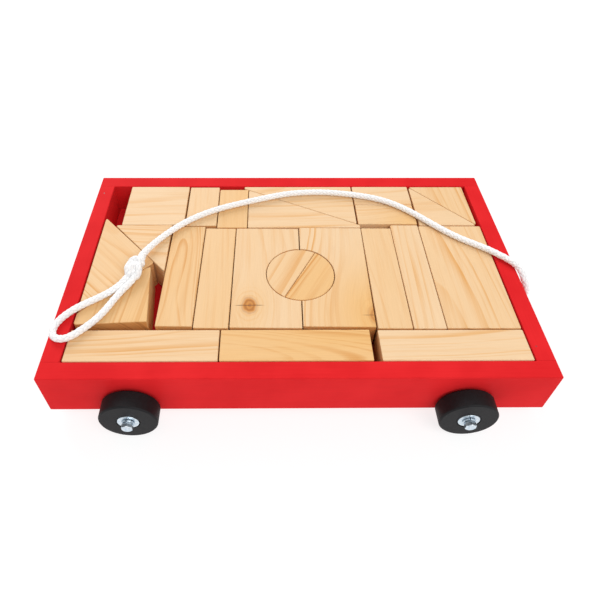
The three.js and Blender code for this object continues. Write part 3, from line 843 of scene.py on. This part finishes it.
BLOCKS = {
    "brick_front_left": figure(0, (30, -95), 6.0, 0.95, 1.6, 0.16),
    "brick_front_middle": figure(0, (-12, -60), 7.0, 0.95, 2.4, 0.74, taper=0.03),
    "brick_front_right": figure(0, (24, -80), 6.5, 0.72, 1.6, -0.10),
    "pillar_left_outer": figure(90, (6, -42), 9.0, 0.85, 3.4, 0.47),
    "pillar_left_inner": figure(90, (60, -120), 10.0, 0.60, 1.8, 0.38),
    "pillar_right_inner": figure(90, (40, -160), 9.0, 0.45, 1.6, 0.29),
    "pillar_right_outer": figure(90, (-60, -90), 8.0, 0.80, 1.8, 0.04),
    "plank_right": figure(90, (36, -110), 11.0, 0.90, 2.2, 0.22, taper=0.03),
    "square_back_left": figure(0, (20, -90), 9.0, 0.60, 2.4, -0.10),
    "half_square_back_outer": figure(90, (30, -90), 8.0, 0.45, 1.6, 0.17),
    "half_square_back_inner": figure(90, (14, -50), 12.0, 0.45, 2.6, 0.60),
    "half_square_back_right_rear": figure(0, (20, -90), 7.0, 0.50, 1.6, -0.10),
    "half_square_back_right_front": figure(
        0, (-18, -60), 8.0, 0.80, 3.0, 0.08,
        knot=(118.0, 50.0), knot_size=4.0, knot_reach=26, knot_depth=0.0, knot_glow=0.60),
    "triangle_large_left": figure(-47, (20, -100), 13.0, 1.15, 2.0, 0.31),
    "triangle_left_rear": figure(0, (-36, -100), 8.0, 1.10, 2.2, 0.16),
    "triangle_left_front": figure(83, (30, -30), 6.5, 1.35, 2.6, 0.64),
    "long_triangle_front": figure(0, (30, -110), 8.0, 0.70, 1.8, 0.02),
    "long_triangle_rear": figure(0, (30, -90), 8.0, 0.60, 1.8, 0.08),
    "triangle_right_front": figure(0, (20, -150), 14.0, 0.45, 1.6, 0.10),
    "triangle_right_rear": figure(90, (26, -100), 9.0, 0.90, 1.6, 0.31),
    "arch_left": figure(
        90, (50, -90), 13.0, 0.85, 4.0, 0.11,
        knot=(-39.0, -51.5), knot_size=6.0, knot_reach=18, knot_depth=1.0, knot_glow=0.25),
    "arch_right": figure(
        90, (-46, -90), 8.0, 1.20, 5.0, 0.02,
        knot=(66.0, -62.0), knot_size=7.0, knot_reach=42, knot_depth=0.75, knot_glow=0.85),
    "half_disc_left": figure(61, (50, -90), 9.0, 1.25, 1.6, 0.32),
    "half_disc_right": figure(61, (-30, -60), 8.0, 1.50, 1.6, 0.70),
}


def block_material(node, number, facts, centre, turn):
    """Pine for one block. A knot's place is given in the part's frame."""
    aside, below = facts["pith"]
    values = {
        "Pith Y": aside, "Pith Z": below,
        "Ring": facts["streaks"] * abs(aside) / math.hypot(aside, below - BLOCK_HALF_HEIGHT),
        "Strength": facts["strength"], "Wave": facts["wave"], "Warmth": facts["warmth"],
        "Taper": facts.get("taper", 0.02), "Seed": 3.7 * number + 11.3,
    }
    if "knot" in facts:
        away = Vector((*facts["knot"], 0)) - centre.xyz / MM
        local = Matrix.Rotation(-turn, 3, "Z") @ away
        values.update({"Knot X": local.x, "Knot Y": local.y, "Knot Size": facts["knot_size"],
                       "Knot Reach": facts["knot_reach"], "Knot Depth": facts["knot_depth"],
                       "Knot Glow": facts["knot_glow"]})
    return pine_material("pine_" + node, **values)


def add_block(number, node, facts):
    low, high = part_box(node)
    centre = (low + high) / 2
    turn = math.radians(facts["grain"])
    skin = loft(prism_rings(rounded(cad_outline(node)), low.z, high.z, BLOCK_EDGE))
    material = block_material(node, number, facts, centre, turn)
    stand_in(node + "_pine", skin, node, material, "pine", node, centre, turn)


# ---------------------------------------------------------------- tray

EASE = 0.9 * MM              # rounding of the boards' edges
FLOOR_EASE = 0.5 * MM
SEAM = 0.28 * MM             # rounding where two boards meet flush
CORNER_STEPS = 4
HOLE_RADIUS = 3.7 * MM       # the cord's hole, and the recess for its stopper knot
RECESS_RADIUS = 7.6 * MM
RECESS_DEPTH = 9 * MM


def rounded_section(half_a, half_b, radii):
    """A rectangle's outline with its own radius at each corner, counter-clockwise from (+a, -b)."""
    points = []
    for k, (sign_a, sign_b) in enumerate(((1, -1), (1, 1), (-1, 1), (-1, -1))):
        radius = max(radii[k], 1e-5)
        for step in range(CORNER_STEPS + 1):
            angle = math.radians(-90 + 90 * (k + step / CORNER_STEPS))
            points.append((sign_a * (half_a - radius) + radius * math.cos(angle),
                           sign_b * (half_b - radius) + radius * math.sin(angle)))
    return points


def board_rings(length, half_a, half_b, radii_at, end_ease):
    """Sections of a board along its length: (position, section outline) with eased ends."""
    rings = []
    stations = sorted({0.0, *radii_at})
    for inward, drop in reversed(quarter_round(end_ease)):
        rings.append((drop, inward, radii_at[stations[0]]))
    for station in stations[1:-1]:
        rings.append((station, 0.0, radii_at[station]))
    for inward, drop in quarter_round(end_ease):
        rings.append((length - drop, inward, radii_at[stations[-1]]))
    return [(at, rounded_section(half_a - inward, half_b - inward, [max(r - inward, 0) for r in radii]))
            for at, inward, radii in rings]


def add_rail(node, inner):
    """A long rail. inner is the Y direction of its inside face, where the end boards butt against it."""
    low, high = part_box(node)
    size, centre = high - low, (low + high) / 2
    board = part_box("end_left")[1].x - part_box("end_left")[0].x
    plain, butted = [EASE] * 4, [EASE] * 4
    butted[1 if inner > 0 else 2] = SEAM
    turn_in, turn_out = board - 0.2 * MM, board + 0.6 * MM
    radii_at = {0.0: butted, turn_in: butted, turn_out: plain, size.x - turn_out: plain,
                size.x - turn_in: butted, size.x: butted}
    rings = [[(low.x + at, centre.y + a, centre.z + b) for a, b in section]
             for at, section in board_rings(size.x, size.y / 2, size.z / 2, radii_at, EASE)]
    stand_in(node + "_board", loft(rings), "wagon", RED, "red_paint", node, centre)


def add_end(node):
    """An end board, butted flush between the rails."""
    low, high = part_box(node)
    size, centre = high - low, (low + high) / 2
    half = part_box("rail_back")[0].y - 0.03 * MM
    radii_at = {0.0: [EASE] * 4, 2 * half: [EASE] * 4}
    rings = [[(centre.x - a, at - half, centre.z + b) for a, b in section]
             for at, section in board_rings(2 * half, size.x / 2, size.z / 2, radii_at, 0.08 * MM)]
    piece = new_piece(node + "_board", *loft(rings), "wagon", RED, "red_paint")
    outward(piece)
    if node == "end_right":
        drill_cord_hole(piece, low, high)
    local_frame(piece, centre, math.pi / 2)
    flat_faces_stay_flat(piece)
    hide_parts(node)


def turned(profile, axis_start, direction, segments=64):
    """Rings of points round an axis, one for each (along, radius) pair."""
    direction = Vector(direction)
    side = direction.orthogonal().normalized()
    other = direction.cross(side)
    rings = []
    for along, radius in profile:
        middle = Vector(axis_start) + direction * along
        rings.append([middle + (side * math.cos(a) + other * math.sin(a)) * radius
                      for a in (2 * math.pi * k / segments for k in range(segments))])
    return rings


def drill_cord_hole(piece, low, high):
    """The hole that the cord leaves by, eased at its mouth, and the wider recess behind it."""
    mouth = high.x - low.x
    profile = [(-2 * MM, RECESS_RADIUS), (RECESS_DEPTH, RECESS_RADIUS), (RECESS_DEPTH, HOLE_RADIUS),
               (mouth - 0.9 * MM, HOLE_RADIUS), (mouth - 0.35 * MM, HOLE_RADIUS + 0.25 * MM),
               (mouth, HOLE_RADIUS + 0.9 * MM), (mouth + 1 * MM, HOLE_RADIUS + 1.9 * MM)]
    vertices, faces = loft(turned(profile, (low.x, 0.0, HOLE_Z), (1, 0, 0), 48))
    mesh = bpy.data.meshes.new("cutter")
    mesh.from_pydata([tuple(v) for v in vertices], [], faces)
    cutter = bpy.data.objects.new("cutter", mesh)
    bpy.context.scene.collection.objects.link(cutter)
    outward(cutter)
    boolean = piece.modifiers.new("hole", "BOOLEAN")
    boolean.object = cutter
    boolean.solver = "EXACT"
    bpy.context.view_layer.update()
    evaluated = piece.evaluated_get(bpy.context.evaluated_depsgraph_get())
    cut = bpy.data.meshes.new_from_object(evaluated)
    piece.modifiers.clear()
    piece.data = cut
    bpy.data.objects.remove(cutter)


def add_floor_board():
    low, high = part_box("floor_board")
    skin = loft(prism_rings(rounded(cad_outline("floor_board")), low.z, high.z, FLOOR_EASE))
    stand_in("floor_board_panel", skin, "wagon", RED, "red_paint", "floor_board", (low + high) / 2)


def add_brad(name, x, y, material):
    """A small nail's head, set just under the paint."""
    profile = [(-0.25 * MM, 0.0), (-0.25 * MM, 0.75 * MM), (0.03 * MM, 0.75 * MM), (0.07 * MM, 0.55 * MM),
               (0.07 * MM, 0.0)]
    skin = loft(turned(profile, (x, y, RIM_Z), (0, 0, 1), 20))
    outward(new_piece(name, *skin, "wagon", material, "zinc"))


# ---------------------------------------------------------------- wheels and hardware

BORE = 2.8 * MM              # of the wheels and all the washers
COUNTERBORE = 9.2 * MM
COUNTERBORE_DEPTH = 1.6 * MM
WHEEL_EDGE = ((0.0, 1.3), (0.08, 1.0), (0.50, 0.5), (1.0, 0.08), (1.3, 0.0))    # millimetres in, and down


def add_lathe(name, profile, node, body, material, slot, side):
    """A turned piece on the axle line of its node. along is measured out from the rail's side of the node."""
    low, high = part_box(node)
    centre = (low + high) / 2
    inside = low.y if side > 0 else high.y
    skin = loft(turned(profile, (centre.x, inside, centre.z), (0, side, 0), 96), closed=True)
    stand_in(name, skin, body, material, slot, node, centre)


def round_ring(bore, radius, thickness, edge):
    """A ring's closed profile with its four corners rounded, as (along, radius) pairs."""
    points = []
    corners = ((0, bore, 1, 1), (0, radius, 1, -1), (thickness, radius, -1, -1), (thickness, bore, -1, 1))
    for k, (along, reach, step_along, step_out) in enumerate(corners):
        centre = (along + step_along * edge, reach + step_out * edge)
        first = {0: 270, 1: 180, 2: 90, 3: 0}[k]
        for step in range(4):
            angle = math.radians(first - 30 * step)
            points.append((centre[0] + edge * math.cos(angle), centre[1] + edge * math.sin(angle)))
    return points


def half_size(node, axis):
    low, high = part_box(node)
    return (high[axis] - low[axis]) / 2


def add_wheel(corner, side):
    node = "wheel_" + corner
    radius, width = half_size(node, 2), 2 * half_size(node, 1)
    edge = [(inward * MM, radius - drop * MM) for inward, drop in WHEEL_EDGE]
    seat = width - COUNTERBORE_DEPTH
    profile = [
        (0.0, BORE), (0.0, 9.0 * MM), *edge, (width / 2, radius),
        *((width - along, reach) for along, reach in reversed(edge)),
        (width, COUNTERBORE + 0.5 * MM), (width - 0.10 * MM, COUNTERBORE + 0.15 * MM),
        (width - 0.4 * MM, COUNTERBORE), (seat, COUNTERBORE), (seat, BORE),
    ]
    add_lathe(node + "_disc", profile, node, node, RUBBER, "wheel_rubber", side)


def add_flat_washer(node, side):
    profile = round_ring(BORE, half_size(node, 2), 2 * half_size(node, 1), 0.35 * MM)
    add_lathe(node + "_disc", profile, node, "wagon", ZINC, "zinc", side)


def add_spring_washer(corner, side):
    """A split ring, one end sprung out a little past the other."""
    node = "spring_washer_" + corner
    low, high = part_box(node)
    centre = (low + high) / 2
    thick = 1.15 * MM
    room = high.y - low.y - thick
    radius = half_size(node, 2)
    inside = low.y if side > 0 else high.y
    rings = []
    count = 90
    for k in range(count):
        share = k / (count - 1)
        a = math.radians(100 + 352 * share)
        base = inside + side * room * share
        section = round_ring(BORE, radius, thick, 0.22 * MM)
        rings.append([(centre.x + r * math.cos(a), base + side * along, centre.z + r * math.sin(a))
                      for along, r in section])
    stand_in(node + "_coil", loft(rings), "wagon", ZINC, "zinc", node, centre)


HEX_FLATS = 4.0 * MM         # half the distance across flats
HEX_HEIGHT = 3.5 * MM
SHANK = 2.45 * MM


def screw_head_rings(height):
    """Hexagonal sections from the base of the head to its dished, chamfered top."""
    count = 96
    angles = [2 * math.pi * k / count for k in range(count)]

    def hexagon(angle):
        return HEX_FLATS / math.cos((angle + math.pi / 6) % (math.pi / 3) - math.pi / 6)

    def cone(along):
        return HEX_FLATS * 0.99 + (height - along) / math.tan(math.radians(30))

    rings = []
    for along in (0.0, 0.15, 0.5, 0.80, 0.88, 0.94, 1.0):
        at = height * along
        rings.append([(at, min(hexagon(a), cone(at)), a) for a in angles])
    for inner, sink in ((0.90, 0.02), (0.74, 0.05), (0.66, 0.16), (0.60, 0.40), (0.35, 0.52), (0.06, 0.56)):
        rings.append([(height - sink * MM, HEX_FLATS * inner, a) for a in angles])
    return rings


def screw_shank_rings(length):
    """The plain shank and the coarse thread at its end, from the head to the tip."""
    count = 96
    thread_start, pitch, depth = 0.58 * length, 2.4 * MM, 0.45 * MM
    rings = []
    steps = 120
    for k in range(steps + 1):
        at = length * k / steps
        taper = min(1.0, (length - at) / (5 * MM)) ** 0.7
        ring = []
        for j in range(count):
            a = 2 * math.pi * j / count
            reach = SHANK
            if at > thread_start:
                tooth = abs(((at / pitch - a / (2 * math.pi)) % 1.0) - 0.5) * 2
                reach = SHANK - depth * (1 - tooth ** 3)
            ring.append((-at, max(reach * taper, 0.15 * MM), a))
        rings.append(ring)
    return rings


def add_screw(corner, side):
    """A coach screw: hexagon head, plain shank and thread in one skin."""
    node = "axle_screw_" + corner
    low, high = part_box(node)
    centre = (low + high) / 2
    outer = high.y if side > 0 else low.y
    seat = outer - side * HEX_HEIGHT
    length = high.y - low.y - HEX_HEIGHT
    rings = list(reversed(screw_shank_rings(length))) + screw_head_rings(HEX_HEIGHT)
    skin = loft([[(centre.x + r * math.cos(a), seat + side * along, centre.z + r * math.sin(a))
                  for along, r, a in ring] for ring in rings])
    piece = new_piece(node + "_hex", *skin, "wagon", ZINC, "zinc")
    outward(piece)
    mark_creases(piece, 40)
    local_frame(piece, centre, 0.0)
    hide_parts(node)


def mark_creases(piece, degrees):
    """Keeps edges sharper than this many degrees crisp."""
    edit = bmesh.new()
    edit.from_mesh(piece.data)
    for edge in edit.edges:
        if len(edge.link_faces) == 2 and edge.calc_face_angle() > math.radians(degrees):
            edge.smooth = False
    edit.to_mesh(piece.data)
    edit.free()


def add_dowel(corner):
    node = "corner_dowel_" + corner
    low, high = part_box(node)
    centre = (low + high) / 2
    radius, length = half_size(node, 2), high.y - low.y
    edge = 0.6 * MM
    profile = [(0.0, 0.02 * MM), (0.0, radius - edge), (edge, radius), (length - edge, radius),
               (length, radius - edge), (length, 0.02 * MM)]
    skin = loft(turned(profile, (centre.x, low.y, centre.z), (0, 1, 0), 32))
    stand_in(node + "_peg", skin, "wagon", DOWEL_PINE, "pine", node, centre, math.pi / 2)


# ---------------------------------------------------------------- build

add_camera()
add_studio()
add_floor()

cord, cord_line, cord_length = add_cord()
loop, loop_line, loop_length = add_loop()
knot_pieces = add_knot()
stopper = add_stopper()

add_rail("rail_front", 1)
add_rail("rail_back", -1)
add_end("end_left")
add_end("end_right")
add_floor_board()
add_brad("brad_left", -0.1905, 0.095, BARE_BRAD)
add_brad("brad_right", 0.1860, -0.093, PAINTED_BRAD)

DOWEL_PINE = pine_material("pine_dowel", Ring=4.0, Strength=0.3)
for corner_name in CORNERS:
    side_sign = -1 if corner_name.startswith("front") else 1
    add_wheel(corner_name, side_sign)
    add_spring_washer(corner_name, side_sign)
    add_screw(corner_name, side_sign)
    add_dowel(corner_name)
    add_flat_washer("inner_washer_" + corner_name, side_sign)
    add_flat_washer("outer_washer_" + corner_name, side_sign)

for number, (block, facts) in enumerate(BLOCKS.items()):
    add_block(number, block, facts)
